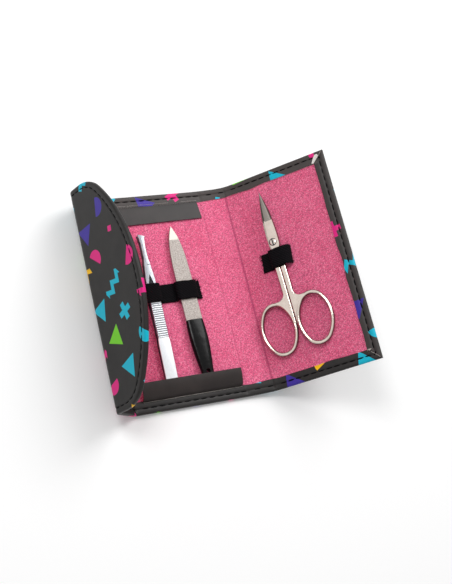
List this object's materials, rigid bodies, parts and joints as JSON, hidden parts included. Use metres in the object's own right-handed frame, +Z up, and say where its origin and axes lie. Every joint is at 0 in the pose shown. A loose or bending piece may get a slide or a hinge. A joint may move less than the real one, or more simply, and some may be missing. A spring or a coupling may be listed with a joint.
{
  "type": "manicure set case",
  "caption": "Folding manicure case opened out, with scissors, tweezers and a nail file held in elastic loops on felt-lined panels that close under a rounded flap.",
  "frame": {"origin": "centre of the back panel's outer face, which lies on the table", "axes": "+X across the panels towards the cover, +Y along the spine towards the tools' tips, +Z up from the table"},
  "size_m": [0.1278, 0.112, 0.05],
  "materials": {
    "printed_vinyl": "printed semi-gloss vinyl with a small bright pattern",
    "pocket_vinyl": "printed semi-gloss vinyl",
    "greyboard": "raw fibre board, hidden",
    "felt": "flat pink felt",
    "elastic": "woven black elastic",
    "scissor_steel": "polished nickel plate, blades satin",
    "tweezer_steel": "satin bright steel",
    "file_steel": "sandblasted grit on steel",
    "handle_plastic": "glossy black",
    "closure_steel": "hidden"
  },
  "bodies": {
    "back": {"back_skin": "printed_vinyl", "back_board": "greyboard", "back_liner": "felt", "upper_pocket": "pocket_vinyl", "lower_pocket": "pocket_vinyl", "tool_elastic": "elastic"},
    "spine": {"spine_skin": "printed_vinyl", "spine_board": "greyboard", "spine_liner": "felt"},
    "cover": {"cover_skin": "printed_vinyl", "cover_board": "greyboard", "cover_liner": "felt", "scissors_elastic": "elastic", "closure_keeper": "closure_steel"},
    "side_band": {"side_skin": "printed_vinyl", "side_board": "greyboard", "side_liner": "felt"},
    "flap": {"flap_skin": "printed_vinyl", "flap_board": "greyboard", "flap_liner": "felt", "closure_magnet": "closure_steel"},
    "scissors": {"scissors_left_half": "scissor_steel", "scissors_screw": "scissor_steel"},
    "scissors_arm": {"scissors_right_half": "scissor_steel"},
    "tweezers": {"tweezers_lower_arm": "tweezer_steel"},
    "tweezers_upper": {"tweezers_upper_arm": "tweezer_steel"},
    "file": {"file_blade": "file_steel", "file_handle": "handle_plastic"}
  },
  "joints": [
    {"name": "spine_fold", "type": "hinge", "parent": "back", "child": "spine", "pos_m": [0.02975, 0, 0.0005], "axis": [0, -1, 0], "range_deg": [-8, 82]},
    {"name": "cover_fold", "type": "hinge", "parent": "spine", "child": "cover", "pos_m": [0.04421, 0, 0.00253], "axis": [0, -1, 0], "range_deg": [-35, 55]},
    {"name": "side_fold", "type": "hinge", "parent": "back", "child": "side_band", "pos_m": [-0.02975, 0, 0.0005], "axis": [0, 1, 0], "range_deg": [-48, 42]},
    {"name": "flap_fold", "type": "hinge", "parent": "side_band", "child": "flap", "pos_m": [-0.04139, 0, 0.01343], "axis": [0, 1, 0], "range_deg": [-62, 28]},
    {"name": "scissors_slide", "type": "slide", "parent": "cover", "child": "scissors", "axis": [0.0166, -0.9997, 0.0155], "range_m": [0, 0.045]},
    {"name": "scissors_pivot", "type": "hinge", "parent": "scissors", "child": "scissors_arm", "pos_m": [0.05748, 0.017, 0.01792], "axis": [-0.682, 0, 0.7314], "range_deg": [0, 24], "deforming": ["scissors_elastic"]},
    {"name": "tweezers_slide", "type": "slide", "parent": "back", "child": "tweezers", "axis": [0, 1, 0], "range_m": [0, 0.009]},
    {"name": "tweezers_squeeze", "type": "hinge", "parent": "tweezers", "child": "tweezers_upper", "pos_m": [-0.00815, -0.0481, 0.00325], "axis": [-1, 0, 0], "range_deg": [0, 1], "stiffness_Nm_per_rad": 1, "springref_deg": -1.15},
    {"name": "file_slide", "type": "slide", "parent": "back", "child": "file", "axis": [-0.0175, 0.9998, 0], "range_m": [0, 0.009]}
  ]
}
